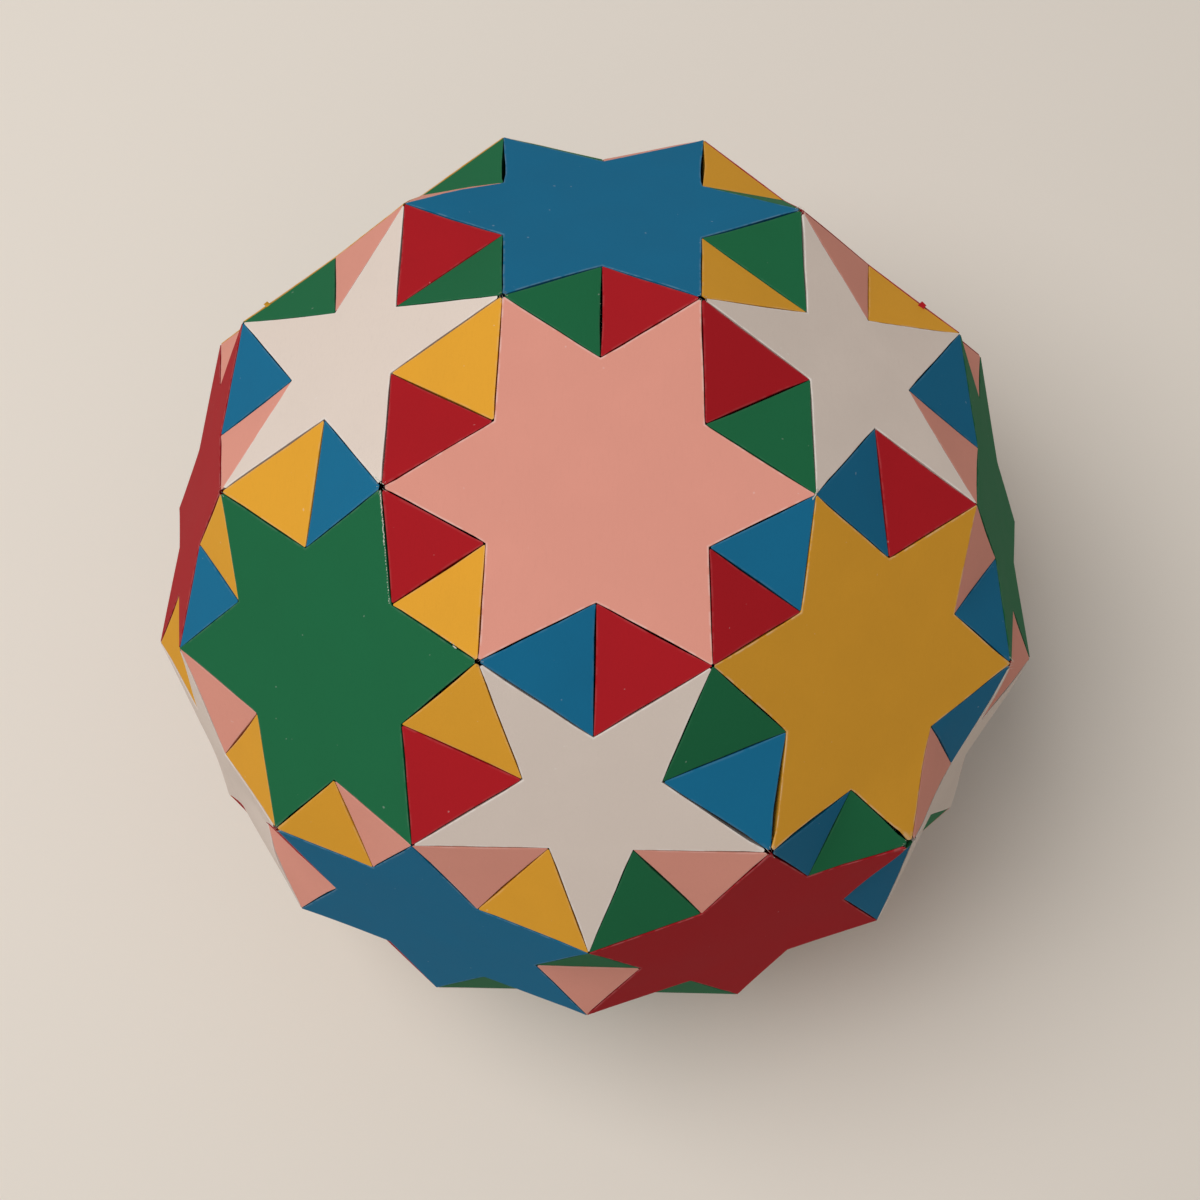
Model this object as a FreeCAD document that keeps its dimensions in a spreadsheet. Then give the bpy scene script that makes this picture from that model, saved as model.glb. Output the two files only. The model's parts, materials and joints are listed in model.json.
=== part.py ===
import FreeCAD, Part
import math
import os

import Sketcher

# A hollow ball of folded card: 12 white five-pointed stars, 20 coloured six-pointed stars, and 180
# small triangles that sink between them, two to a dimple. Every card has a glue flap on each edge,
# folded inwards and glued flat to the flap of the card beside it. Millimetres, +Z up. The ball rests
# on a six-pointed star, and the origin is the middle of that star.

Vector = FreeCAD.Vector
Rotation = FreeCAD.Rotation
Placement = FreeCAD.Placement
UP = Vector(0, 0, 1)

# Driving sizes, in millimetres and degrees
SIZES = [
    ("star_length", 90, "Long straight line of a star, from point to point"),
    ("card_thickness", 0.35, "Thickness of the card"),
    ("glue_gap", 0.05, "Film of glue between two flaps"),
    ("flap_depth", 7, "Depth of a star's glue flaps, below the face of the card"),
    ("flap_end_angle", 45, "Slant of a star's flap ends"),
    ("tip_gap", 0.1, "Space between the two flaps at a point of a card"),
    ("slit_stop", 0.3, "Card left between a fold and the slit at a star's inner corner"),
    ("small_flap_angle", 28, "Slant of the pointed flaps on the small triangles"),
    ("cut_clearance", 2, "Distance that a trimming cut runs past the card"),
]

# Proportions that the shape fixes, for a star of length 1, and angles in degrees. A tip is a point's
# distance from the star's middle, and a line is the distance of its edges from there.
GOLDEN = (1 + math.sqrt(5)) / 2
WHITE_HALF_POINT = 18
WHITE_STEP = 72
WHITE_TIP = 0.5 / math.cos(math.radians(WHITE_HALF_POINT))
WHITE_LINE = WHITE_TIP * math.sin(math.radians(WHITE_HALF_POINT))
WHITE_NOTCH = WHITE_LINE / math.cos(math.radians(WHITE_STEP / 2))
WHITE_ARM = 1 / GOLDEN**2
WHITE_SPAN = 1 / GOLDEN
BRIGHT_HALF_POINT = 30
BRIGHT_TIP = 0.5 / math.cos(math.radians(BRIGHT_HALF_POINT))
BRIGHT_LINE = BRIGHT_TIP * math.sin(math.radians(BRIGHT_HALF_POINT))
BRIGHT_FOOT = 90 - BRIGHT_HALF_POINT
WIDE_STEP = math.degrees(2 * math.asin(WHITE_SPAN / 2 / BRIGHT_TIP))
BRIGHT_REPEAT = 120
NARROW_STEP = BRIGHT_REPEAT - WIDE_STEP
NARROW_SPAN = 2 * BRIGHT_TIP * math.sin(math.radians(NARROW_STEP / 2))


def bright_notch(step):
    """Inner corner of a coloured star: its distance from the middle, between points a step apart."""
    return BRIGHT_LINE / math.cos(math.radians(BRIGHT_FOOT - step / 2))


def bright_arm(step):
    """Edge of a coloured star, from a point to the inner corner on the side of that step."""
    feet = [math.tan(math.radians(angle)) for angle in (BRIGHT_FOOT, BRIGHT_FOOT - step / 2)]
    return BRIGHT_LINE * (feet[0] - feet[1])


# Layout: the points of the stars lie on the edges of a large icosahedron. A white star stands across
# each of its 12 corners, and a coloured star lies on each of its 20 faces.
BIG_EDGE = 2 * WHITE_SPAN + NARROW_SPAN
TOP_FACE = Vector(1, 1, 1)
FRONT_CORNER = Vector(0, 1, GOLDEN)
LIKE_FACES = [Vector(1, 1, 1), Vector(1, -1, -1), Vector(-1, 1, -1), Vector(-1, -1, 1)]
COLOURS = ["pink", "green", "blue", "red", "yellow"]
LAYERS = ["top", "upper", "lower", "base"]

# Neighbouring corners lie one edge apart, and the next ones more than one and a half
NEAR = 1.1

# Millimetres within which two places are the same
SAME_PLACE = 0.001

# A side of a card's block has a normal with less than this along Z, and its face and back have 1
SIDE_NORMAL = 0.9


def unit(vector):
    return Vector(vector).normalize()


def upright():
    """Turn that brings a face of the icosahedron on top and a corner to the front, which is -Y."""
    top = unit(TOP_FACE)
    back = unit(top * FRONT_CORNER.dot(top) - FRONT_CORNER)
    return Rotation(back.cross(top), back, top).inverted()


def big_corners(edge):
    corners = []
    for a in (-1, 1):
        for b in (-GOLDEN, GOLDEN):
            corners += [Vector(0, a, b), Vector(a, b, 0), Vector(b, 0, a)]
    return [upright().multVec(corner) * (edge / 2) for corner in corners]


def angle_round(vector, axis, start):
    """Angle of a vector round an axis from start, counter-clockwise, from 0 to 360 degrees."""
    first = unit(start - axis * start.dot(axis))
    second = axis.cross(first)
    return round(math.degrees(math.atan2(vector.dot(second), vector.dot(first))), 6) % 360


def neighbours(corners, i, edge):
    """The five corners beside corner i, counter-clockwise seen from outside."""
    near = [j for j in range(len(corners)) if 0 < (corners[j] - corners[i]).Length < NEAR * edge]
    start = corners[near[0]] - corners[i]
    return sorted(near, key=lambda j: angle_round(corners[j] - corners[i], unit(corners[i]), start))


def face_colour(centre):
    """Colour of the star on a face. Each colour has four faces, and the next colour has the same four
    turned by a fifth round the front corner."""
    closest = {}
    for number, colour in enumerate(COLOURS):
        turn = upright() * Rotation(FRONT_CORNER, number * WHITE_STEP)
        closest[colour] = max(turn.multVec(unit(like)).dot(unit(centre)) for like in LIKE_FACES)
    return max(COLOURS, key=closest.get)


def star_frame(centre, tip):
    """Frame of a star: origin in its middle, Z outward and X to one of its points."""
    outward = unit(centre)
    first = unit(tip - centre)
    return Placement(centre, Rotation(first, outward.cross(first), outward))


def triangle_frame(tip, end, other):
    """Frame of a small triangle: origin at its point on the ball, Z outward and X to its first end."""
    first = unit(end - tip)
    outward = unit((end - tip).cross(other - tip))
    return Placement(tip, Rotation(first, outward.cross(first), outward))


def lay_out(line):
    """Where each card goes, as (kind, colour, layer, Placement), about the middle of the ball."""
    corners = big_corners(BIG_EDGE * line)
    rings = [neighbours(corners, i, BIG_EDGE * line) for i in range(12)]
    heights = sorted({round(corner.z, 3) for corner in corners}, reverse=True)
    cards = []

    def star_point(i, j):
        return corners[i] + (corners[j] - corners[i]) * (WHITE_SPAN / BIG_EDGE)

    def inner_corner(centre, tip, next_tip, reach):
        return centre + unit((tip + next_tip) * 0.5 - centre) * (reach * line)

    for i, ring in enumerate(rings):
        layer = LAYERS[heights.index(round(corners[i].z, 3))]
        tips = [star_point(i, j) for j in ring]
        middle = sum(tips, Vector()) * (1 / len(tips))
        faces = [(corners[i] + corners[ring[m]] + corners[ring[m - 4]]) * (1 / 3) for m in range(5)]
        colours = [face_colour(face) for face in faces]
        cards.append(("five_point", "white", layer, star_frame(middle, tips[0])))
        for m, j in enumerate(ring):
            # Seen from outside with this white star below: face m is on the left, face m - 1 on the right
            tip, across, left, right = tips[m], star_point(j, i), faces[m], faces[m - 1]
            if i < j and i < ring[m - 4]:
                cards.append(("six_point", colours[m], layer, star_frame(left, tip)))
            left_end = inner_corner(left, tip, across, bright_notch(NARROW_STEP))
            right_end = inner_corner(right, tip, across, bright_notch(NARROW_STEP))
            place = triangle_frame(tip, right_end, left_end)
            cards.append(("even_triangle", colours[m - 2], layer, place))
            white_end = inner_corner(middle, tip, tips[m - 4], WHITE_NOTCH)
            bright_end = inner_corner(left, tip, tips[m - 4], bright_notch(WIDE_STEP))
            place = triangle_frame(tip, bright_end, white_end)
            cards.append(("left_triangle", colours[m - 2], layer, place))
            white_end = inner_corner(middle, tip, tips[m - 1], WHITE_NOTCH)
            bright_end = inner_corner(right, tip, tips[m - 1], bright_notch(WIDE_STEP))
            place = triangle_frame(tip, white_end, bright_end)
            cards.append(("right_triangle", colours[m - 4], layer, place))
    return cards


def triangle_corners(first, second):
    """Corners of a small triangle in its own frame: its point on the ball, and the ends of its sides."""
    return [Vector(), Vector(first, 0, 0), Rotation(UP, 60).multVec(Vector(second, 0, 0))]


def half_angle(one, other):
    """Half the angle between the faces of two cards."""
    normals = [card[3].Rotation.multVec(UP) for card in (one, other)]
    return math.degrees(normals[0].getAngle(normals[1])) / 2


def valley_lean(card, sides):
    """Angle between a small triangle's normal and the plane that halves its dimple."""
    ends = [card[3].multVec(corner) for corner in triangle_corners(*sides)[1:]]
    normal = card[3].Rotation.multVec(UP)
    return math.degrees(abs(math.asin(normal.dot(unit(ends[0].cross(ends[1]))))))


# Sides that meet at a small triangle's point, and how far each card's flaps lean from square: a flap
# beside a star leans in under its card, and a flap in the valley of a dimple leans out.
EVEN_SIDES = (bright_arm(NARROW_STEP), bright_arm(NARROW_STEP))
LEFT_SIDES = (bright_arm(WIDE_STEP), WHITE_ARM)
RIGHT_SIDES = (WHITE_ARM, bright_arm(WIDE_STEP))
WHITE_CARD, BRIGHT_CARD, EVEN_CARD, LEFT_CARD = lay_out(1)[:4]
WHITE_LEAN = half_angle(WHITE_CARD, LEFT_CARD)
BRIGHT_LEAN = half_angle(BRIGHT_CARD, LEFT_CARD)
EVEN_VALLEY = -valley_lean(EVEN_CARD, EVEN_SIDES)
SIDE_VALLEY = -valley_lean(LEFT_CARD, LEFT_SIDES)

# The document and its table of sizes
doc = FreeCAD.newDocument("paper_ball")
sheet = doc.addObject("Spreadsheet::Sheet", "sizes")
for row, (alias, value, note) in enumerate(SIZES, 1):
    sheet.set(f"A{row}", note)
    sheet.set(f"B{row}", str(value))
    sheet.setAlias(f"B{row}", alias)
doc.recompute()


def origin_feature(body, role):
    return next(feature for feature in body.Origin.OriginFeatures if feature.Role == role)


def add_sketch(body, name, corners):
    """Closed outline on the body's XY plane. Each corner is a pair of expressions."""
    sketch = body.newObject("Sketcher::SketchObject", name)
    sketch.AttachmentSupport = [(origin_feature(body, "XY_Plane"), "")]
    sketch.MapMode = "FlatFace"
    values = [[sheet.evalExpression(text) for text in corner] for corner in corners]
    count = len(corners)
    for k in range(count):
        start, end = Vector(*values[k], 0), Vector(*values[(k + 1) % count], 0)
        sketch.addGeometry(Part.LineSegment(start, end), False)
    for k in range(count):
        sketch.addConstraint(Sketcher.Constraint("Coincident", k, 2, (k + 1) % count, 1))
    for k in range(count):
        for axis, value, expression in zip("XY", values[k], corners[k]):
            number = sketch.addConstraint(Sketcher.Constraint("Distance" + axis, -1, 1, k, 1, value))
            sketch.renameConstraint(number, f"corner_{k}_{axis}")
            sketch.setExpression(f"Constraints.corner_{k}_{axis}", expression)
    return sketch


def stand_sketch(sketch, across, base):
    """Stands a sketch upright: X along across, Y up, and its origin at a pair of expressions."""
    sketch.AttachmentOffset = Placement(Vector(), Rotation(across, UP, across.cross(UP)))
    for axis, expression in zip("xy", base):
        sketch.setExpression(f"AttachmentOffset.Base.{axis}", expression)


def face_names(feature, wanted):
    return [f"Face{k}" for k, face in enumerate(feature.Shape.Faces, 1) if wanted(face)]


def add_tray(body, corners, leans, depth):
    """A card and its folded edges as one shallow tray, open below, with the card's face at Z 0."""
    outline = add_sketch(body, body.Name + "_outline", corners)
    block = body.newObject("PartDesign::Pad", body.Name + "_block")
    block.Profile = outline
    block.setExpression("Length", depth)
    block.Reversed = True
    doc.recompute()
    points = [Vector(sheet.evalExpression(x), sheet.evalExpression(y), 0) for x, y in corners]
    middles = [Part.Vertex((points[k - 1] + points[k]) * 0.5) for k in range(len(points))]
    for lean in sorted(set(leans)):
        # Side k - 1 of the outline runs from corner k - 1 to corner k
        sides = [middle for k, middle in enumerate(middles) if leans[k - 1] == lean]
        folded = body.newObject("PartDesign::Draft", f"{body.Name}_lean_{round(abs(lean))}")
        side_names = face_names(
            block,
            lambda face: abs(face.normalAt(0, 0).z) < SIDE_NORMAL
            and min(face.distToShape(side)[0] for side in sides) < SAME_PLACE,
        )
        folded.Base = (block, side_names)
        folded.NeutralPlane = (block, face_names(block, lambda face: face.BoundBox.ZMin > -SAME_PLACE))
        folded.Angle = abs(lean)
        folded.Reversed = lean > 0
        doc.recompute()
        block = folded
    tray = body.newObject("PartDesign::Thickness", body.Name + "_tray")
    low = block.Shape.BoundBox.ZMin
    tray.Base = (block, face_names(block, lambda face: face.BoundBox.ZMax < low + SAME_PLACE))
    tray.setExpression("Value", "sizes.card_thickness")
    tray.Join = "Intersection"
    tray.Reversed = True
    doc.recompute()
    return tray


def add_cut(body, name, profile, across, base, length, symmetric=True):
    """Pocket from an upright profile, both ways from it or only towards the middle of the card."""
    sketch = add_sketch(body, name + "_profile", profile)
    stand_sketch(sketch, across, base)
    cut = body.newObject("PartDesign::Pocket", name)
    cut.Profile = sketch
    cut.SideType = "Symmetric" if symmetric else "One side"
    cut.setExpression("Length", length)
    doc.recompute()
    return cut


def trim_point(body, name, reach, half_point, heading):
    """Trims a star's point square and slants the ends of the two flaps beside it."""
    slope = f"cos({half_point} deg) / tan(sizes.flap_end_angle * 1 deg)"
    cut = f"({reach} - (sizes.card_thickness + sizes.tip_gap / 2) / tan({half_point} deg))"
    low = "(sizes.flap_depth + sizes.cut_clearance)"
    profile = [
        (f"{cut} + sizes.cut_clearance * {slope}", "sizes.cut_clearance"),
        (f"{cut} - {low} * {slope}", f"-{low}"),
        (f"{reach} + {low}", f"-{low}"),
        (f"{reach} + {low}", "sizes.cut_clearance"),
    ]
    across = Rotation(UP, heading).multVec(Vector(1, 0, 0))
    return add_cut(body, name, profile, across, ("0", "0"), f"2 * {low}")


def slit_notch(body, name, reach, half_notch, heading):
    """Slits the folded edge at a star's inner corner, and slants the ends of the two flaps there."""
    slope = f"sin({half_notch} deg) / tan(sizes.flap_end_angle * 1 deg)"
    start = "(sizes.card_thickness + sizes.slit_stop)"
    low = "(sizes.flap_depth + sizes.cut_clearance)"
    profile = [
        ("0", f"-{start}"),
        (f"-({low} - {start}) * {slope}", f"-{low}"),
        (f"({low} - {start}) * {slope}", f"-{low}"),
    ]
    outward = Rotation(UP, heading).multVec(Vector(1, 0, 0))
    base = [f"{part} * ({reach} + {low})" for part in (outward.x, outward.y)]
    return add_cut(body, name, profile, UP.cross(outward), base, f"2 * {low}", symmetric=False)


def repeat_cuts(body, cuts, times):
    pattern = body.newObject("PartDesign::PolarPattern", body.Name + "_cuts")
    pattern.Originals = cuts
    pattern.Axis = (origin_feature(body, "Z_Axis"), [""])
    pattern.Angle = 360
    pattern.Occurrences = times
    body.Tip = pattern
    doc.recompute()


def star_card(name, line, points, notches, times, lean):
    """A star: points and notches are (direction, reach for a star line of 1, half angle) in one repeat.

    All its edges lie on lines at the same distance from the middle, so leaving room for the glue is
    the same as drawing the star a little smaller.
    """
    body = doc.addObject("PartDesign::Body", name)

    def reach(ratio):
        return f"({ratio} * (sizes.star_length - sizes.glue_gap / {2 * line}))"

    corners = []
    for turn in range(times):
        for heading, ratio, _ in sorted(points + notches):
            angle = heading + turn * 360 / times
            corners.append([f"{part}({angle} deg) * {reach(ratio)}" for part in ("cos", "sin")])
    add_tray(body, corners, [lean] * len(corners), "sizes.flap_depth")
    cuts = []
    for k, (heading, ratio, half) in enumerate(points):
        cuts.append(trim_point(body, f"{name}_point_{k}", reach(ratio), half, heading))
    for k, (heading, ratio, half) in enumerate(notches):
        cuts.append(slit_notch(body, f"{name}_slit_{k}", reach(ratio), half, heading))
    repeat_cuts(body, cuts, times)
    return body


def triangle_card(name, sides, leans):
    """A small triangle, whose flaps run to a point below the middle of each side."""
    body = doc.addObject("PartDesign::Body", name)
    ends = triangle_corners(*sides)
    longest = max((ends[k] - ends[k - 1]).Length for k in range(3))
    half_side = f"{longest} * sizes.star_length / 2"
    depth = f"({half_side} * tan(sizes.small_flap_angle * 1 deg) + sizes.card_thickness)"
    corners, bisectors, halves = [], [], []
    for k, end in enumerate(ends):
        one, other = unit(ends[k - 1] - end), unit(ends[k - 2] - end)
        bisectors.append(unit(one + other))
        halves.append(math.degrees(one.getAngle(other)) / 2)
        inset = bisectors[k] * (0.5 / math.sin(math.radians(halves[k])))
        pairs = ((end.x, inset.x), (end.y, inset.y))
        corners.append([f"{far} * sizes.star_length + {near} * sizes.glue_gap" for far, near in pairs])
    add_tray(body, corners, leans, depth)
    for k in range(3):
        slope = f"cos({halves[k]} deg) / tan(sizes.small_flap_angle * 1 deg)"
        cut = f"(sizes.card_thickness + sizes.tip_gap / 2) / tan({halves[k]} deg)"
        low = f"({depth} + sizes.cut_clearance)"
        profile = [
            (f"{cut} - sizes.cut_clearance * {slope}", "sizes.cut_clearance"),
            (f"-{low}", "sizes.cut_clearance"),
            (f"-{low}", f"-{low}"),
            (f"{cut} + {low} * {slope}", f"-{low}"),
        ]
        add_cut(body, f"{name}_corner_{k}", profile, bisectors[k], corners[k], "2 * sizes.star_length")
    return body


# One card of each kind
CARDS = {
    "five_point": star_card(
        "five_point",
        WHITE_LINE,
        points=[(0, WHITE_TIP, WHITE_HALF_POINT)],
        notches=[(WHITE_STEP / 2, WHITE_NOTCH, WHITE_HALF_POINT + WHITE_STEP / 2)],
        times=5,
        lean=WHITE_LEAN,
    ),
    "six_point": star_card(
        "six_point",
        BRIGHT_LINE,
        points=[(0, BRIGHT_TIP, BRIGHT_HALF_POINT), (NARROW_STEP, BRIGHT_TIP, BRIGHT_HALF_POINT)],
        notches=[
            (NARROW_STEP / 2, bright_notch(NARROW_STEP), BRIGHT_HALF_POINT + NARROW_STEP / 2),
            (NARROW_STEP + WIDE_STEP / 2, bright_notch(WIDE_STEP), BRIGHT_HALF_POINT + WIDE_STEP / 2),
        ],
        times=3,
        lean=BRIGHT_LEAN,
    ),
    "even_triangle": triangle_card("even_triangle", EVEN_SIDES, [BRIGHT_LEAN, EVEN_VALLEY, BRIGHT_LEAN]),
    "left_triangle": triangle_card("left_triangle", LEFT_SIDES, [BRIGHT_LEAN, SIDE_VALLEY, WHITE_LEAN]),
    "right_triangle": triangle_card("right_triangle", RIGHT_SIDES, [WHITE_LEAN, SIDE_VALLEY, BRIGHT_LEAN]),
}


def place_cards():
    """Places a copy of the right card at each place, and gathers the small triangles into groups."""
    cards = lay_out(sheet.star_length)
    rest = min(place.Base.z for kind, _, _, place in cards if kind == "six_point")
    cards.sort(key=lambda card: (-round(card[3].Base.z, 3), angle_round(card[3].Base, UP, Vector(0, -1, 0))))
    counts, groups, nodes = {}, {}, []
    for kind, colour, layer, place in cards:
        copy = doc.addObject("App::Link", f"{colour}_{kind}")
        copy.LinkedObject = CARDS[kind]
        copy.Placement = Placement(place.Base - UP * rest, place.Rotation)
        if kind.endswith("triangle"):
            groups.setdefault(f"{colour}_triangles_{layer}", []).append(copy)
        else:
            counts[colour] = counts.get(colour, 0) + 1
            copy.Label = f"{colour}_star_{counts[colour]:02d}"
            nodes.append(copy)
    for label, copies in sorted(groups.items()):
        group = doc.addObject("Part::Compound", label)
        group.Links = copies
        group.Label = label
        nodes.append(group)
    doc.recompute()
    return nodes


sub_parts = place_cards()

for feature in doc.Objects:
    if "Invalid" in feature.State or "Error" in feature.State:
        raise RuntimeError(f"{feature.Label} failed: {feature.State}")
for sub_part in sub_parts:
    if sub_part.Shape.isNull() or not sub_part.Shape.isValid():
        raise RuntimeError(f"{sub_part.Label} has no sound shape")

os.makedirs("parts", exist_ok=True)
for sub_part in sub_parts:
    sub_part.Shape.exportStep(os.path.join("parts", sub_part.Label + ".step"))
for name, card in CARDS.items():
    print(name, "volume", round(card.Shape.Volume, 1), "solids", len(card.Shape.Solids))
print(len(sub_parts), "sub-parts,", sum(len(p.Shape.Solids) for p in sub_parts), "cards")
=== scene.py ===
import json
import math
import random

import bmesh
import bpy
from bpy.props import FloatProperty, FloatVectorProperty, IntProperty, PointerProperty
from mathutils import Matrix, Vector, geometry, noise
from mathutils.bvhtree import BVHTree

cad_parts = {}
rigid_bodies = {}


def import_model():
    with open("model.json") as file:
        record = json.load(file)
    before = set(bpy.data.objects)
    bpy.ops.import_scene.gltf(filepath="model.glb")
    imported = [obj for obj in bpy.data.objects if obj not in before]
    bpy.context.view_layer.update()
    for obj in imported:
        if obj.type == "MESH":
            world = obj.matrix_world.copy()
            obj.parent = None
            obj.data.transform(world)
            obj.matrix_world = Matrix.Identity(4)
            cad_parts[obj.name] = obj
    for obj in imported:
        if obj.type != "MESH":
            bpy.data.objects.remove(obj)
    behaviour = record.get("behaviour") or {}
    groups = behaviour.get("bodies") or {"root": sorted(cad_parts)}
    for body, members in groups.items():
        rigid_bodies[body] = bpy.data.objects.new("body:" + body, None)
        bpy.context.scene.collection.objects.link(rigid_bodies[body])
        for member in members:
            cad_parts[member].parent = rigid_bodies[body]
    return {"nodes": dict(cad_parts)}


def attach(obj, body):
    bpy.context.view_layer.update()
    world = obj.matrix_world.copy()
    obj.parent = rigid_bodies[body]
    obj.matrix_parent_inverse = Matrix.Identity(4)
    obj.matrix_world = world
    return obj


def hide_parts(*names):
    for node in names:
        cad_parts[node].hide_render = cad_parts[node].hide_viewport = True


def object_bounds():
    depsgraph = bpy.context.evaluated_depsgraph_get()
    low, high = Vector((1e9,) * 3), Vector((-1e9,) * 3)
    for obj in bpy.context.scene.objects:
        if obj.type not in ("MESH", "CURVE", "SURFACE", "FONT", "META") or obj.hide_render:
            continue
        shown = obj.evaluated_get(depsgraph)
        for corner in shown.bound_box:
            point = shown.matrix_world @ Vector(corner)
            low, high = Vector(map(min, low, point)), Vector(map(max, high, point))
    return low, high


bl_info = {
    "name": "Folded Card Star Ball",
    "version": (1, 0, 0),
    "blender": (4, 5, 0),
    "location": "View3D > Sidebar > Star Ball",
    "description": "Dresses a hollow ball of folded and glued card stars, and sets a plain stage for it",
    "category": "Object",
}

# All lengths are in metres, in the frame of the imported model, and all angles in radians.
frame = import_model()
CAD_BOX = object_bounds()
BALL_MIDDLE = (CAD_BOX[0] + CAD_BOX[1]) / 2
BRIGHT_COLOURS = ("pink", "yellow", "red", "blue", "green")
LAYERS = ("top", "upper", "lower", "base")

# Faces of a card, as they are marked while it is dressed
HIDDEN, FACE, FLAP, FOLD = range(4)

# A side of a card's outline that is shorter than this is the blunt end of a point
POINT_WIDTH = 0.002

# How much of a sharp point the model trims off, and how far from its corner the wear of a point reaches
POINT_TRIM = 0.0008
POINT_REACH = 0.005

# How far in from its edge a seam moves a card, and how far from the ends of that edge it starts to
SEAM_REACH = 0.004
SEAM_END = 0.0025

# How far down a glue flap follows its seam, and the depths at which its undercut is full
FLAP_REACH = 0.020
UNDERCUT_DEPTH = 0.0006
LOOSE_UNDERCUT_DEPTH = 0.0025

# How far from an open point its flaps are drawn in
OPEN_POINT_REACH = 0.010

# A cut that passes a corner closer than this runs through the corner
CUT_REACH = 2e-5

# Camera, large lamp and the even light of the room
CAMERA_PLACE = Vector((-0.00226, -0.11080, 0.67454))
CAMERA_TURN = [math.radians(angle) for angle in (6.974, 0.832, 1.193)]
CAMERA_SHIFT = (0.0394, 0.1021)
LAMP_PLACE = Vector((-0.60, 0.07, 1.54))
LAMP_COLOUR = (1.0, 0.985, 0.965)
ROOM_COLOUR = (1.0, 0.95, 0.89, 1.0)

# Colours of dried glue, and of the core of torn card, from dark to light
GLUE_COLOURS = ([0.30, 0.33, 0.28, 1.0], [0.55, 0.55, 0.47, 1.0])
CORE_COLOURS = ([0.50, 0.45, 0.38, 1.0], [0.78, 0.74, 0.66, 1.0])

# Places on the ball where the points of the cards stand open, and how far they are drawn back there
OPEN_POINTS = (
    (Vector((-0.0519, -0.0021, 0.2410)), 0.0003),
    (Vector((0.0840, -0.0806, 0.1811)), 0.0012),
    (Vector((0.0450, -0.0859, 0.2089)), 0.0004),
    (Vector((0.1118, -0.0324, 0.1811)), 0.0003),
    (Vector((-0.0241, 0.0460, 0.2410)), 0.00005),
    (Vector((0.0241, 0.0460, 0.2410)), 0.0001),
    (Vector((-0.0278, -0.0439, 0.2410)), 0.00005),
    (Vector((-0.0969, 0.0040, 0.2089)), 0.0002),
    (Vector((0.0519, 0.0819, 0.2089)), 0.0002),
    (Vector((-0.0840, -0.0806, 0.1811)), 0.0002),
)

# Places on seams that gape, how far along the seam that reaches, and how far each card is drawn back
LOOSE_SEAMS = (
    (Vector((-0.0285, 0.0976, 0.1949)), 0.016, 0.00045),
    (Vector((0.0273, 0.0993, 0.1934)), 0.016, 0.00040),
    (Vector((0.0453, -0.0770, 0.2128)), 0.022, 0.00050),
    (Vector((0.0560, -0.0777, 0.2041)), 0.014, 0.00025),
    (Vector((0.1010, -0.0330, 0.1890)), 0.012, 0.00025),
    (Vector((0.0455, 0.0760, 0.2140)), 0.012, 0.00020),
    (Vector((-0.0310, -0.0415, 0.2395)), 0.007, 0.00015),
)

# Where the ball stands proud of its regular form or, below zero, is sunk, how far that reaches, and
# how high or deep it is
PROUD_PLACES = (
    (Vector((0.0840, -0.0806, 0.1811)), 0.024, 0.0014),
    (Vector((-0.0400, 0.0905, 0.2050)), 0.020, 0.0009),
    (Vector((0.0000, 0.1260, 0.1550)), 0.036, -0.0012),
    (Vector((0.1041, -0.0601, 0.1435)), 0.046, -0.0028),
    (Vector((-0.1041, -0.0601, 0.1435)), 0.046, 0.0014),
    (Vector((-0.1118, -0.0646, 0.0970)), 0.030, 0.0010),
    (Vector((-0.0946, -0.0745, 0.1490)), 0.018, -0.0030),
    (Vector((-0.0935, -0.0795, 0.0985)), 0.020, 0.0034),
)

# Bits of torn card that stand up from the ball, with their colour and size
CRUMBS = (
    ("red", Vector((0.0893, 0.0654, 0.1912)), 0.0014),
    ("yellow", Vector((-0.0928, 0.0628, 0.1905)), 0.0012),
)

# Seams with a line of dried glue: its two ends, how many drops it has, and how thick they are
GLUE_LINES = (
    (Vector((-0.0520, -0.0032, 0.2405)), Vector((-0.0513, -0.0150, 0.2360)), 40, 0.00015),
    (Vector((-0.0513, -0.0150, 0.2360)), Vector((-0.0503, -0.0285, 0.2309)), 22, 0.00010),
    (Vector((-0.0515, -0.0012, 0.2410)), Vector((-0.0545, 0.0010, 0.2400)), 9, 0.00013),
    (Vector((0.0514, -0.0030, 0.2410)), Vector((0.0522, -0.0010, 0.2408)), 6, 0.0002),
    (Vector((-0.0330, -0.0402, 0.2390)), Vector((-0.0345, -0.0392, 0.2384)), 4, 0.00016),
)


def paint(red, green, blue):
    """A colour given as a screen shows it, from 0 to 255, as the light that it reflects."""
    shares = [part / 255 for part in (red, green, blue)]
    return [part / 12.92 if part <= 0.04045 else ((part + 0.055) / 1.055) ** 2.4 for part in shares]


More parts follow.
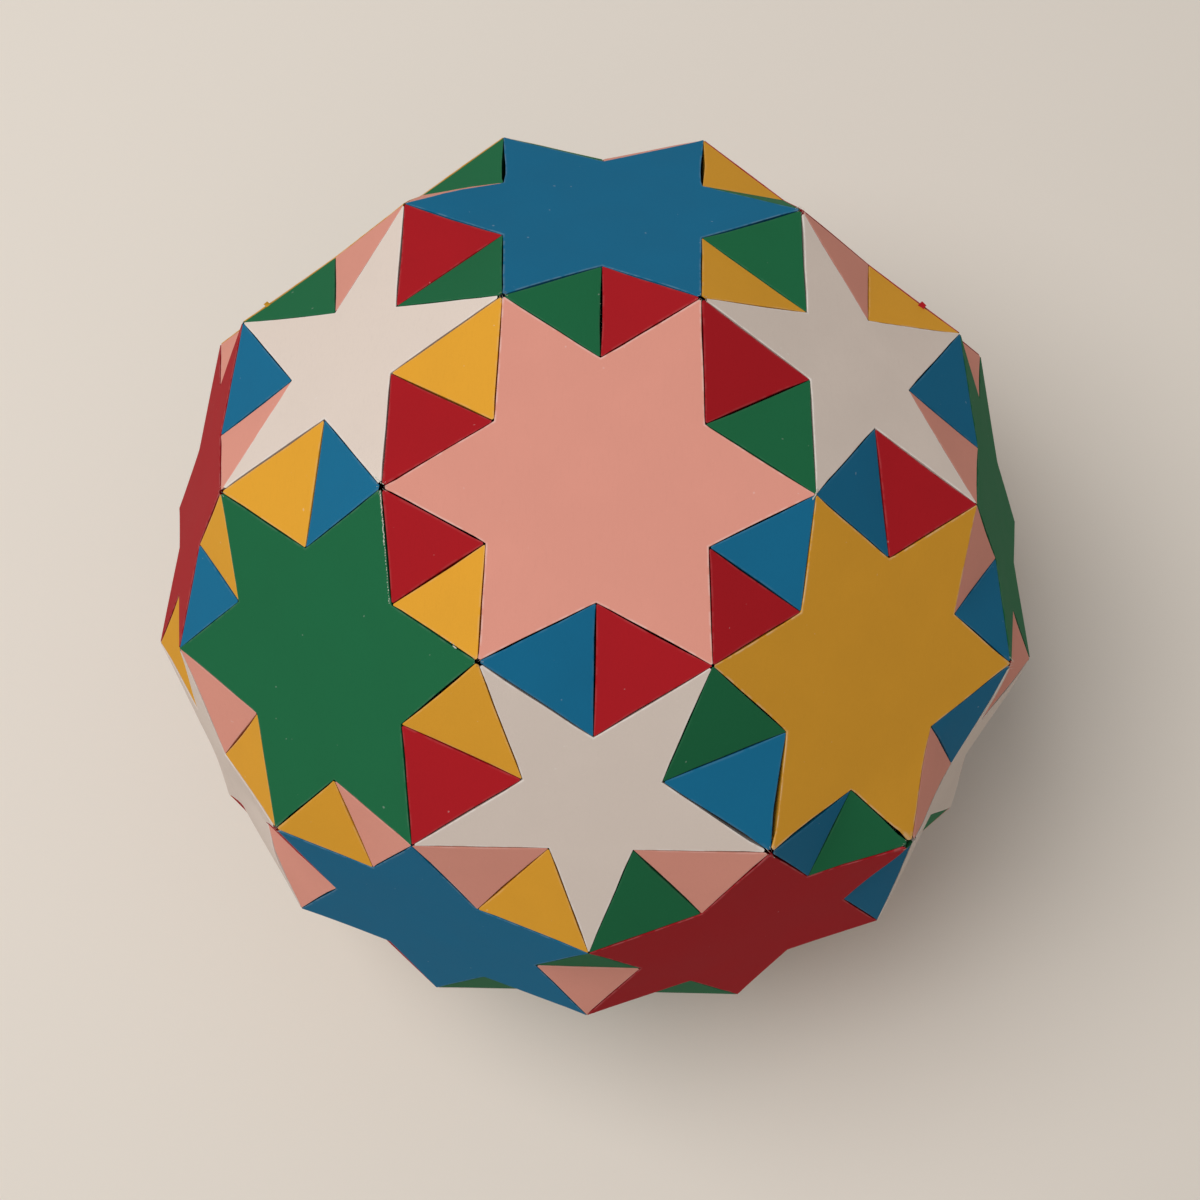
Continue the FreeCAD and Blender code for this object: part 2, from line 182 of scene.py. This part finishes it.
class CardSettings(bpy.types.PropertyGroup):
    """Sizes of the folds, seams and warps of the cards."""

    fold_radius: FloatProperty(
        name="Fold radius",
        description="Width of the rounded edge where a glue flap is folded down",
        default=0.0003,
        unit="LENGTH",
    )
    star_fold_steps: IntProperty(
        name="Star fold steps",
        description="Facets across a rounded fold of a star",
        default=4,
    )
    undercut: FloatProperty(
        name="Undercut",
        description="How far a glue flap springs in under its card",
        default=0.0003,
        unit="LENGTH",
    )
    loose_undercut: FloatProperty(
        name="Loose undercut",
        description="How much further it springs in along a seam that gapes",
        default=0.0030,
        unit="LENGTH",
    )
    # A pale strip painted along the folds: partly scuffed card, partly a painted highlight
    scuffed_and_highlit_rim: FloatProperty(
        name="Worn rim",
        description="Width of the strip along the edge of a face that is rubbed pale",
        default=0.0007,
        unit="LENGTH",
    )
    small_fold_steps: IntProperty(
        name="Small fold steps",
        description="Facets across a rounded fold of a small triangle",
        default=2,
    )
    star_grid: FloatProperty(
        name="Star grid",
        description="Distance between the cuts that let a star warp",
        default=0.0055,
        unit="LENGTH",
    )
    small_grid: FloatProperty(
        name="Small grid",
        description="Distance between the cuts that let a small triangle warp",
        default=0.009,
        unit="LENGTH",
    )
    seam_gap: FloatProperty(
        name="Seam gap",
        description="Most that the edge of a card is drawn back from an ordinary seam",
        default=0.00019,
        unit="LENGTH",
    )
    seam_wave: FloatProperty(
        name="Seam wave",
        description="Length of the waves along a seam",
        default=0.011,
        unit="LENGTH",
    )
    warp: FloatProperty(
        name="Warp",
        description="Most that the cards sink below their flat faces",
        default=0.0005,
        unit="LENGTH",
    )
    small_sink: FloatProperty(
        name="Small sink",
        description="Most that a small triangle lies below the edges of the stars beside it",
        default=0.00022,
        unit="LENGTH",
    )
    warp_wave: FloatProperty(
        name="Warp wave",
        description="Length of the waves over the cards",
        default=0.032,
        unit="LENGTH",
    )
    point_close: FloatProperty(
        name="Point closing",
        description="Share of the way that a blunt point reaches on to its sharp corner",
        default=0.5,
    )


class ColourSettings(bpy.types.PropertyGroup):
    """Colours of the six kinds of card."""

    white: FloatVectorProperty(
        name="White",
        description="Colour of the five-pointed stars",
        subtype="COLOR",
        default=paint(211, 198, 189),
    )
    pink: FloatVectorProperty(
        name="Pink",
        description="Colour of the pink cards",
        subtype="COLOR",
        default=paint(215, 147, 132),
    )
    yellow: FloatVectorProperty(
        name="Yellow",
        description="Colour of the yellow cards",
        subtype="COLOR",
        default=paint(212, 153, 47),
    )
    red: FloatVectorProperty(
        name="Red",
        description="Colour of the red cards",
        subtype="COLOR",
        default=paint(159, 22, 31),
    )
    blue: FloatVectorProperty(
        name="Blue",
        description="Colour of the blue cards",
        subtype="COLOR",
        default=paint(19, 101, 139),
    )
    green: FloatVectorProperty(
        name="Green",
        description="Colour of the green cards",
        subtype="COLOR",
        default=paint(26, 98, 62),
    )


class StageSettings(bpy.types.PropertyGroup):
    """Floor, lamps and camera."""

    floor: FloatVectorProperty(
        name="Floor",
        description="Colour of the floor",
        subtype="COLOR",
        default=paint(228, 222, 214),
    )
    backdrop: FloatVectorProperty(
        name="Backdrop",
        description="Colour that the camera sees past the floor",
        subtype="COLOR",
        default=paint(236, 232, 226),
    )
    floor_size: FloatProperty(
        name="Floor size",
        description="Width of the square floor",
        default=6.0,
        unit="LENGTH",
    )
    room_light: FloatProperty(
        name="Room light",
        description="Strength of the even light of the room",
        default=0.36,
    )
    lamp_power: FloatProperty(
        name="Lamp power",
        description="Power of the large soft lamp, in watts",
        default=17.0,
    )
    lamp_size: FloatProperty(
        name="Lamp size",
        description="Width of the large soft lamp",
        default=1.0,
        unit="LENGTH",
    )
    lens: FloatProperty(
        name="Lens",
        description="Focal length of the camera in millimetres",
        default=55.92,
    )


class Wire:
    """A socket of a material's nodes, on which Python's sums add their Math nodes."""

    def __init__(self, finish, socket):
        self.finish = finish
        self.socket = socket

    def calculate(self, operation, *values):
        return self.finish.node("ShaderNodeMath", {"operation": operation}, dict(enumerate(values)))

    def __add__(self, other):
        return self.calculate("ADD", self, other)

    __radd__ = __add__

    def __sub__(self, other):
        return self.calculate("SUBTRACT", self, other)

    def __rsub__(self, other):
        return self.calculate("SUBTRACT", other, self)

    def __mul__(self, other):
        return self.calculate("MULTIPLY", self, other)

    __rmul__ = __mul__

    def clamped(self):
        limited = self.calculate("MULTIPLY", self, 1.0)
        limited.socket.node.use_clamp = True
        return limited


class Finish:
    """The nodes of one material."""

    def __init__(self, name):
        self.material = bpy.data.materials.new(name)
        self.material.use_nodes = True
        self.tree = self.material.node_tree
        self.tree.nodes.clear()

    def node(self, kind, settings=None, inputs=None, output=0):
        """Adds a node: its settings first, then the values or wires of its sockets."""
        added = self.tree.nodes.new(kind)
        for setting, value in (settings or {}).items():
            if setting == "stops":
                ramp = added.color_ramp
                for stop, (place, shade) in zip(ramp.elements, value):
                    stop.position = place
                    stop.color = (shade, shade, shade, 1.0)
            else:
                setattr(added, setting, value)
        for socket, value in (inputs or {}).items():
            if isinstance(value, Wire):
                self.tree.links.new(value.socket, added.inputs[socket])
            else:
                added.inputs[socket].default_value = value
        return Wire(self, added.outputs[output]) if added.outputs else None

    def place(self):
        return self.node("ShaderNodeTexCoord", output="Object")

    def grain(self, place, size, detail=3.0, roughness=0.55):
        """Noise from 0 to 1, with spots of that size in metres."""
        values = {"Vector": place, "Scale": 1 / size, "Detail": detail, "Roughness": roughness}
        return self.node("ShaderNodeTexNoise", {"noise_dimensions": "3D"}, values)

    def steps(self, value, low, high):
        """0 below low and 1 above high."""
        settings = {"interpolation_type": "SMOOTHSTEP"}
        return self.node("ShaderNodeMapRange", settings, {0: value, 1: low, 2: high})

    def blend(self, factor, first, second, mode="MIX"):
        """Mixes two colours, each a wire or four numbers."""
        settings = {"data_type": "RGBA", "blend_type": mode}
        return self.node("ShaderNodeMix", settings, {0: factor, 6: first, 7: second}, output=2)

    def attribute(self, name):
        return self.node("ShaderNodeAttribute", {"attribute_name": name}, output="Fac")

    def surface(self, **values):
        """Joins the shader to the output. Names of sockets are given with _ for a space."""
        sockets = {name.replace("_", " "): value for name, value in values.items()}
        shader = self.node("ShaderNodeBsdfPrincipled", inputs=sockets)
        self.node("ShaderNodeOutputMaterial", inputs={"Surface": shader})
        return self.material


def tint(colour, share, towards):
    """A colour moved by a share towards a grey level, as four numbers."""
    return [part + (towards - part) * share for part in colour] + [1.0]


def card_finish(name, colour):
    """Matt dyed card: faint clouds and fibres, and folds painted paler in patches, partly as scuffed card
    and partly as a painted highlight.
    """
    finish = Finish(name)
    place = finish.place()
    clouds = finish.grain(place, 0.018)
    specks = finish.grain(place, 0.0007, detail=2.0)
    drawn = finish.node("ShaderNodeMapping", inputs={"Vector": place, "Scale": (1.0, 0.16, 0.5)})
    fibres = finish.grain(drawn, 0.00045, detail=4.0, roughness=0.7)
    tone = finish.attribute("tone")
    fold = finish.attribute("fold")
    plain = list(colour) + [1.0]
    light = [min(1.0, part * 1.07) for part in colour] + [1.0]
    dark = tint(colour, 0.12, 0.0)
    # Pale fold colour: partly scuffed card, partly a painted highlight along the rounded folds
    scuffed_and_highlit_colour = tint(colour, 0.2 * sum(colour), 0.80)
    base = finish.blend(finish.steps(clouds * 0.6 + tone * 0.4, 0.25, 0.75), dark, light)
    base = finish.blend(0.6, base, plain)
    base = finish.blend(finish.steps(specks, 0.60, 0.80) * 0.3, base, light)
    base = finish.blend(finish.steps(fibres, 0.50, 0.75) * 0.3, base, dark)
    stray = finish.steps(finish.grain(place, 0.0013, detail=0.0), 0.87, 0.90)
    base = finish.blend(stray * 0.3, base, tint(colour, 0.5, 0.80))
    # Mask for the pale folds, in patches: partly scuffed card, partly a painted highlight
    scuffed_and_highlit_mask = finish.steps(finish.grain(place, 0.003, detail=4.0), 0.36, 0.60) * fold
    base = finish.blend(scuffed_and_highlit_mask, base, scuffed_and_highlit_colour)
    bump = finish.node(
        "ShaderNodeBump",
        inputs={"Strength": 0.35, "Distance": 0.00003, "Height": fibres + specks * 0.5},
    )
    return finish.surface(
        Base_Color=base,
        Roughness=(0.74 + 0.12 * clouds).clamped(),
        Specular_IOR_Level=0.1,
        Normal=bump,
    )


def glue_finish(name):
    """Dried white glue: off-white, a little shiny."""
    finish = Finish(name)
    clouds = finish.grain(finish.place(), 0.0015)
    base = finish.blend(clouds, *GLUE_COLOURS)
    return finish.surface(Base_Color=base, Roughness=0.35 + 0.2 * clouds, Specular_IOR_Level=0.5)


def fibre_finish(name):
    """Torn ends of card, where its pale core shows."""
    finish = Finish(name)
    clouds = finish.grain(finish.place(), 0.0008)
    base = finish.blend(clouds, *CORE_COLOURS)
    return finish.surface(Base_Color=base, Roughness=0.85, Specular_IOR_Level=0.2)


def smooth_step(value):
    """0 below 0 and 1 above 1, with a smooth way between."""
    held = min(1.0, max(0.0, value))
    return held * held * (3 - 2 * held)


def settled(place, settings):
    """A place on the ball, moved by the slow waves that run over all the cards."""
    outward = (place - BALL_MIDDLE).normalized()
    wave = 0.5 + 0.5 * noise.noise(place / settings.warp_wave)
    height = -settings.warp * wave
    for middle, reach, rise in PROUD_PLACES:
        height += rise * smooth_step(1 - (place - middle).length / reach)
    return place + outward * height


class Card:
    """One card on its own: its shell, the frame of its outer face, and the outline of that face."""

    def __init__(self, shell, seed):
        self.shell = shell
        self.draw = random.Random(seed)
        self.shift = Vector([self.draw.uniform(-50, 50) for _ in range(3)])
        self.tone = self.draw.random()
        self.mark = shell.faces.layers.int.new("mark")
        outward = [f for f in shell.faces if f.normal.dot(f.calc_center_median() - BALL_MIDDLE) > 0]
        face = max(outward, key=lambda f: f.calc_area())
        face[self.mark] = FACE
        along = (face.verts[1].co - face.verts[0].co).normalized()
        turn = Matrix((along, face.normal.cross(along), face.normal)).transposed()
        self.frame = Matrix.LocRotScale(face.calc_center_median(), turn.to_quaternion(), None)
        self.local = self.frame.inverted()
        self.sides = []
        for loop in face.loops:
            start = self.local @ loop.vert.co
            end = self.local @ loop.link_loop_next.vert.co
            if (end - start).length > POINT_WIDTH:
                self.sides.append((start, end))
                loop.link_loop_radial_next.face[self.mark] = FLAP
        self.points = self.find_points()

    def find_points(self):
        """The sharp corners that the blunt points of the outline had before they were trimmed."""
        points = []
        for k, (start, end) in enumerate(self.sides):
            before = self.sides[k - 1]
            if (before[1] - start).length > 1e-6:
                points.append(geometry.intersect_line_line(before[0], before[1], start, end)[0])
        return points

    def cut_grid(self, spacing):
        """Cuts the card both ways, so that it can warp and its seams can wander."""
        shell = self.shell
        for turn in (0.3, 0.3 + math.pi / 2):
            across = Vector((math.cos(turn), math.sin(turn), 0))
            reaches = [start.dot(across) for start, _ in self.sides]
            count = int((max(reaches) - min(reaches)) / spacing)
            for k in range(1, count + 1):
                reach = min(reaches) + (max(reaches) - min(reaches)) * k / (count + 1)
                bmesh.ops.bisect_plane(
                    shell,
                    geom=shell.verts[:] + shell.edges[:] + shell.faces[:],
                    dist=CUT_REACH,
                    plane_co=self.frame @ (across * reach),
                    plane_no=self.frame.to_quaternion() @ across,
                )

    def round_folds(self, radius, steps):
        """Rounds the edges between the face and its glue flaps."""
        shell = self.shell
        mark = self.mark
        folds = [e for e in shell.edges if sorted(f[mark] for f in e.link_faces) == [FACE, FLAP]]
        made = bmesh.ops.bevel(
            shell,
            geom=folds,
            offset=radius,
            offset_type="OFFSET",
            affect="EDGES",
            segments=steps,
            profile=0.5,
            material=-1,
            clamp_overlap=False,
        )
        for face in made["faces"]:
            face[mark] = FOLD

    def cut_rim(self, width):
        """Cuts the face a set way in from its edges, where their wear and their painted highlight end."""
        cuts = []
        for start, end in self.sides:
            along = (end - start).normalized()
            inward = Vector((-along.y, along.x, 0))
            reach = inward.dot(start) + width
            if not any(inward.dot(other) > 0.999 and abs(reach - far) < 1e-5 for other, far in cuts):
                cuts.append((inward, reach))
        for inward, reach in cuts:
            faces = [f for f in self.shell.faces if f[self.mark] == FACE]
            edges = list(dict.fromkeys(e for f in faces for e in f.edges))
            verts = list(dict.fromkeys(v for f in faces for v in f.verts))
            bmesh.ops.bisect_plane(
                self.shell,
                geom=verts + edges + faces,
                dist=CUT_REACH,
                plane_co=self.frame @ (inward * reach),
                plane_no=self.frame.to_quaternion() @ inward,
            )

    def mark_attributes(self):
        """Keeps for the material where the folds are, and the card's own tone."""
        shell = self.shell
        fold = shell.verts.layers.float.new("fold")
        tone = shell.verts.layers.float.new("tone")
        # How pale the folds are painted, as scuffing and as a painted highlight; less on the small
        # triangles
        wear = 0.4 if len(self.sides) == 3 else 1.0
        for vertex in shell.verts:
            marks = {f[self.mark] for f in vertex.link_faces}
            vertex[tone] = self.tone
            vertex[fold] = wear * (FOLD in marks and FLAP not in marks)

    def seam_shift(self, point, place, settings):
        """How the seams draw back one point of the card, in the card's own frame."""
        total = Vector()
        waves = smooth_step(0.45 + 0.9 * noise.noise(place / settings.seam_wave + self.shift))
        reach = settings.seam_gap * (0.12 + 0.88 * waves)
        reach += settings.undercut * smooth_step(-point.z / UNDERCUT_DEPTH)
        deep = smooth_step(-point.z / LOOSE_UNDERCUT_DEPTH)
        for middle, length, width in LOOSE_SEAMS:
            loose = smooth_step(1 - (place - middle).length / length)
            reach += loose * (width + settings.loose_undercut * deep)
        for middle, back in OPEN_POINTS:
            reach += 3 * back * deep * smooth_step(1 - (place - middle).length / OPEN_POINT_REACH)
        depth = smooth_step(1 + point.z / FLAP_REACH)
        fade = SEAM_REACH - 0.7 * point.z
        for start, end in self.sides:
            along = (end - start).normalized()
            inward = Vector((-along.y, along.x, 0))
            inside = (point - start).dot(inward)
            run = (point - start).dot(along)
            edge = min(run, (end - start).length - run)
            near = smooth_step(1 - abs(inside) / fade) * smooth_step(edge / SEAM_END)
            total += inward * (reach * near * depth)
        return total

    def point_shift(self, point, place, settings):
        """How the wear of the card's points moves one point of the card, in the card's own frame."""
        total = Vector()
        for corner in self.points:
            away = point - corner
            if away.length < POINT_REACH:
                here = self.frame @ corner
                close = settings.point_close + 0.4 * noise.noise(here / 0.013)
                close += 0.15 * math.sin(self.shift.x)
                for middle, back in OPEN_POINTS:
                    if (here - middle).length < 0.004:
                        close = -back / POINT_TRIM
                total -= away * (min(close, 0.85) * smooth_step((POINT_REACH - away.length) / 0.003))
        return total

    def warp(self, settings):
        """Moves every vertex: seams first, then the points, then the slow waves over the ball."""
        moved = []
        for vertex in self.shell.verts:
            point = self.local @ vertex.co
            point = point + self.seam_shift(point, vertex.co, settings)
            point = point + self.point_shift(point, vertex.co, settings)
            if len(self.sides) == 3:
                point.z -= settings.small_sink * (0.3 + 0.7 * self.tone)
            moved.append(settled(self.frame @ point, settings))
        for vertex, place in zip(self.shell.verts, moved):
            vertex.co = place


def cards_of(node):
    """The cards of a CAD node, each in a shell of its own."""
    whole = bmesh.new()
    whole.from_mesh(frame["nodes"][node].data)
    bmesh.ops.remove_doubles(whole, verts=whole.verts, dist=1e-6)
    bmesh.ops.dissolve_limit(whole, angle_limit=0.01, verts=whole.verts, edges=whole.edges)
    for layers in (whole.loops.layers.uv, whole.loops.layers.color, whole.loops.layers.float_color):
        for layer in list(layers.values()):
            layers.remove(layer)
    group = whole.verts.layers.int.new("card")
    count = 0
    for seed in whole.verts:
        if seed[group] == 0:
            count += 1
            seed[group] = count
            reached = [seed]
            while reached:
                for edge in reached.pop().link_edges:
                    for vertex in edge.verts:
                        if vertex[group] == 0:
                            vertex[group] = count
                            reached.append(vertex)
    cards = []
    for number in range(1, count + 1):
        shell = whole.copy()
        group = shell.verts.layers.int["card"]
        others = [vertex for vertex in shell.verts if vertex[group] != number]
        bmesh.ops.delete(shell, geom=others, context="VERTS")
        shell.verts.layers.int.remove(group)
        shell.normal_update()
        cards.append(Card(shell, f"{node} {number}"))
    whole.free()
    return cards


def finish_of(colour):
    """The material of a colour of card, made once."""
    name = f"{colour} card"
    colours = bpy.context.scene.star_ball_colours
    return bpy.data.materials.get(name) or card_finish(name, getattr(colours, colour))


def make_piece(name, shell, material, nodes=()):
    """Turns a shell into a piece of the ball."""
    mesh = bpy.data.meshes.new(name)
    shell.to_mesh(mesh)
    shell.free()
    mesh.materials.append(material)
    piece = bpy.data.objects.new(name, mesh)
    bpy.context.scene.collection.objects.link(piece)
    mesh.shade_smooth()
    mesh.set_sharp_from_angle(angle=math.radians(38))
    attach(piece, "root")
    if nodes:
        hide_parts(*nodes)
    return piece


def dress_node(node, colour, grid, steps):
    """Replaces a CAD node with the same cards, folded, with trimmed points, folds painted pale as wear
    and as a painted highlight, and slightly warped.
    """
    settings = bpy.context.scene.star_ball_cards
    joined = bmesh.new()
    for card in cards_of(node):
        card.round_folds(settings.fold_radius, steps)
        card.cut_rim(settings.scuffed_and_highlit_rim)
        card.cut_grid(grid)
        card.mark_attributes()
        card.warp(settings)
        single = bpy.data.meshes.new("card")
        card.shell.to_mesh(single)
        card.shell.free()
        joined.from_mesh(single)
        bpy.data.meshes.remove(single)
    joined.faces.layers.int.remove(joined.faces.layers.int["mark"])
    piece = make_piece(f"{node}_card", joined, finish_of(colour), [node])
    weighted = piece.modifiers.new("flat faces", "WEIGHTED_NORMAL")
    weighted.keep_sharp = True
    return piece


def all_cards():
    """The outer surface of all the cards that are dressed, for a search by rays."""
    whole = bmesh.new()
    for piece in bpy.data.objects:
        if piece.name.endswith("_card"):
            whole.from_mesh(piece.data)
    tree = BVHTree.FromBMesh(whole)
    whole.free()
    return tree


def on_cards(tree, place):
    """The spot on the cards straight below or above a place, and the way outward there."""
    outward = (place - BALL_MIDDLE).normalized()
    spot = tree.ray_cast(place + outward * 0.004, -outward, 0.012)[0]
    return spot or place, outward


def add_drop(shell, tree, place, size, along):
    """A drop of glue, flattened on the cards and drawn out along the seam."""
    spot, outward = on_cards(tree, place)
    across = outward.cross(along).normalized()
    turn = Matrix((across.cross(outward), across, outward)).transposed().to_quaternion()
    shape = Matrix.LocRotScale(spot, turn, Vector((2.2, 1.0, 0.6)) * size)
    bmesh.ops.create_icosphere(shell, subdivisions=2, radius=1.0, matrix=shape)


def add_fibre(shell, root, tip, width):
    """A torn end of card: a thin pointed strip from its root to its tip."""
    run = tip - root
    turn = run.to_track_quat("Z", "X")
    shape = Matrix.LocRotScale((root + tip) / 2, turn, Vector((1.0, 0.45, 1.0)))
    bmesh.ops.create_cone(
        shell,
        cap_ends=True,
        segments=5,
        radius1=width,
        radius2=width * 0.15,
        depth=run.length,
        matrix=shape,
    )


def add_flake(shell, draw, spot, outward, size):
    """A torn flake of card that stands on its edge."""
    aside = outward.cross(Vector((0, 0, 1))).normalized()
    turn = Matrix((aside, outward.cross(aside), outward)).transposed().to_quaternion()
    shape = Matrix.LocRotScale(spot + outward * size * 0.4, turn, Vector((1.1, 0.12, 1.0)) * size)
    flake = bmesh.ops.create_cube(shell, size=1.0, matrix=shape)
    for vertex in flake["verts"]:
        vertex.co += Vector([draw.uniform(-0.15, 0.15) * size for _ in range(3)])


def nodes_named(start):
    """The CAD nodes whose names start so, in order."""
    return sorted(name for name in frame["nodes"] if name.startswith(start))


class STARBALL_OT_white_stars(bpy.types.Operator):
    """Dresses the twelve white five-pointed stars"""

    bl_idname = "star_ball.white_stars"
    bl_label = "White stars"

    def execute(self, context):
        settings = context.scene.star_ball_cards
        for node in nodes_named("white_star_"):
            dress_node(node, "white", settings.star_grid, settings.star_fold_steps)
        return {"FINISHED"}


class STARBALL_OT_bright_stars(bpy.types.Operator):
    """Dresses the twenty six-pointed stars in five colours"""

    bl_idname = "star_ball.bright_stars"
    bl_label = "Bright stars"

    def execute(self, context):
        settings = context.scene.star_ball_cards
        for colour in BRIGHT_COLOURS:
            for node in nodes_named(f"{colour}_star_"):
                dress_node(node, colour, settings.star_grid, settings.star_fold_steps)
        return {"FINISHED"}


class STARBALL_OT_small_triangles(bpy.types.Operator):
    """Dresses the small triangles that are sunk between the stars"""

    bl_idname = "star_ball.small_triangles"
    bl_label = "Small triangles"

    def execute(self, context):
        settings = context.scene.star_ball_cards
        for colour in BRIGHT_COLOURS:
            for layer in LAYERS:
                node = f"{colour}_triangles_{layer}"
                dress_node(node, colour, settings.small_grid, settings.small_fold_steps)
        return {"FINISHED"}


class STARBALL_OT_torn_fibres(bpy.types.Operator):
    """Adds the pale torn ends of card around the open points"""

    bl_idname = "star_ball.torn_fibres"
    bl_label = "Torn fibres"

    def execute(self, context):
        draw = random.Random("torn fibres")
        tree = all_cards()
        shell = bmesh.new()
        for middle, back in OPEN_POINTS:
            outward = (middle - BALL_MIDDLE).normalized()
            first = outward.orthogonal().normalized()
            second = outward.cross(first)
            count = 7 + int(back / 0.0001)
            for k in range(count):
                turn = 2 * math.pi * (k + draw.uniform(-0.4, 0.4)) / count
                heading = first * math.cos(turn) + second * math.sin(turn)
                far = draw.uniform(0.0010, 0.0016) + back
                near = far - draw.uniform(0.0005, 0.0010)
                root = on_cards(tree, middle + heading * far)[0] - outward * 0.00004
                tip = on_cards(tree, middle + heading * near)[0] + outward * draw.uniform(0.00002, 0.0002)
                if (tip - root).length < 0.002:
                    add_fibre(shell, root, tip, draw.uniform(0.00006, 0.00013))
        make_piece("torn_fibres", shell, fibre_finish("torn card"))
        return {"FINISHED"}


class STARBALL_OT_glue_traces(bpy.types.Operator):
    """Adds the dried glue that shows along a few seams"""

    bl_idname = "star_ball.glue_traces"
    bl_label = "Glue traces"

    def execute(self, context):
        draw = random.Random("glue traces")
        tree = all_cards()
        shell = bmesh.new()
        for start, end, count, size in GLUE_LINES:
            along = (end - start).normalized()
            for k in range(count):
                place = start.lerp(end, (k + draw.uniform(-0.3, 0.3)) / (count - 1))
                place += Vector([draw.uniform(-0.00012, 0.00012) for _ in range(3)])
                add_drop(shell, tree, place, size * draw.uniform(0.6, 1.3), along)
        make_piece("glue_traces", shell, glue_finish("dried glue"))
        return {"FINISHED"}


class STARBALL_OT_crumbs(bpy.types.Operator):
    """Adds the small bits of torn card that stand up from the ball"""

    bl_idname = "star_ball.crumbs"
    bl_label = "Crumbs"

    def execute(self, context):
        draw = random.Random("crumbs")
        tree = all_cards()
        for colour, place, size in CRUMBS:
            shell = bmesh.new()
            spot, outward = on_cards(tree, place)
            add_flake(shell, draw, spot, outward, size)
            make_piece(f"{colour}_crumb", shell, finish_of(colour))
        return {"FINISHED"}


def room_world(settings):
    """The even light of the room, with a paler backdrop where the camera looks past the floor."""
    world = bpy.data.worlds.new("room")
    world.use_nodes = True
    tree = world.node_tree
    room = tree.nodes["Background"]
    room.inputs["Color"].default_value = ROOM_COLOUR
    room.inputs["Strength"].default_value = settings.room_light
    backdrop = tree.nodes.new("ShaderNodeBackground")
    backdrop.inputs["Color"].default_value = list(settings.backdrop) + [1.0]
    rays = tree.nodes.new("ShaderNodeLightPath")
    seen = tree.nodes.new("ShaderNodeMath")
    seen.operation = "ADD"
    tree.links.new(rays.outputs["Is Camera Ray"], seen.inputs[0])
    tree.links.new(rays.outputs["Is Glossy Ray"], seen.inputs[1])
    chosen = tree.nodes.new("ShaderNodeMixShader")
    tree.links.new(seen.outputs[0], chosen.inputs[0])
    tree.links.new(room.outputs[0], chosen.inputs[1])
    tree.links.new(backdrop.outputs[0], chosen.inputs[2])
    tree.links.new(chosen.outputs[0], tree.nodes["World Output"].inputs["Surface"])
    return world


def area_lamp(name, place, target, size, power, colour):
    """A round soft lamp that faces its target."""
    lamp = bpy.data.lights.new(name, "AREA")
    lamp.shape = "DISK"
    lamp.size = size
    lamp.energy = power
    lamp.color = colour
    holder = bpy.data.objects.new(name, lamp)
    holder.location = place
    holder.rotation_euler = (target - place).to_track_quat("-Z", "Y").to_euler()
    bpy.context.scene.collection.objects.link(holder)
    return holder


class STARBALL_OT_stage(bpy.types.Operator):
    """Sets the floor, the lamps and the camera"""

    bl_idname = "star_ball.stage"
    bl_label = "Stage"

    def execute(self, context):
        scene = context.scene
        settings = scene.star_ball_stage
        shell = bmesh.new()
        bmesh.ops.create_grid(shell, x_segments=8, y_segments=8, size=settings.floor_size / 2)
        mesh = bpy.data.meshes.new("floor")
        shell.to_mesh(mesh)
        shell.free()
        floor = bpy.data.objects.new("floor", mesh)
        scene.collection.objects.link(floor)
        finish = Finish("floor paint")
        colour = list(settings.floor) + [1.0]
        mesh.materials.append(finish.surface(Base_Color=colour, Roughness=0.8, Specular_IOR_Level=0.2))

        scene.world = room_world(settings)
        area_lamp(
            "large lamp",
            LAMP_PLACE,
            BALL_MIDDLE,
            settings.lamp_size,
            settings.lamp_power,
            LAMP_COLOUR,
        )

        camera = bpy.data.cameras.new("camera")
        camera.lens = settings.lens
        camera.sensor_width = 36.0
        camera.clip_start = 0.01
        camera.clip_end = 20.0
        holder = bpy.data.objects.new("camera", camera)
        camera.shift_x, camera.shift_y = CAMERA_SHIFT
        holder.location = CAMERA_PLACE
        holder.rotation_euler = CAMERA_TURN
        scene.collection.objects.link(holder)
        scene.camera = holder
        scene.view_settings.view_transform = "Standard"
        return {"FINISHED"}


class STARBALL_PT_panel(bpy.types.Panel):
    """Steps and settings of the star ball"""

    bl_idname = "STARBALL_PT_panel"
    bl_label = "Star Ball"
    bl_space_type = "VIEW_3D"
    bl_region_type = "UI"
    bl_category = "Star Ball"

    def draw(self, context):
        for step in STEPS:
            self.layout.operator(step.bl_idname)
        for group_name in GROUPS:
            group = getattr(context.scene, group_name)
            box = self.layout.box()
            for name in group.bl_rna.properties.keys():
                if name not in ("rna_type", "name"):
                    box.prop(group, name)


GROUPS = {
    "star_ball_cards": CardSettings,
    "star_ball_colours": ColourSettings,
    "star_ball_stage": StageSettings,
}
STEPS = (
    STARBALL_OT_stage,
    STARBALL_OT_white_stars,
    STARBALL_OT_bright_stars,
    STARBALL_OT_small_triangles,
    STARBALL_OT_torn_fibres,
    STARBALL_OT_glue_traces,
    STARBALL_OT_crumbs,
)


def register():
    for group in (*GROUPS.values(), *STEPS, STARBALL_PT_panel):
        bpy.utils.register_class(group)
    for name, group in GROUPS.items():
        setattr(bpy.types.Scene, name, PointerProperty(type=group))


def unregister():
    for name in GROUPS:
        delattr(bpy.types.Scene, name)
    for group in reversed((*GROUPS.values(), *STEPS, STARBALL_PT_panel)):
        bpy.utils.unregister_class(group)


def main():
    register()
    for step in STEPS:
        section, name = step.bl_idname.split(".")
        getattr(getattr(bpy.ops, section), name)()


if __name__ == "__main__":
    main()
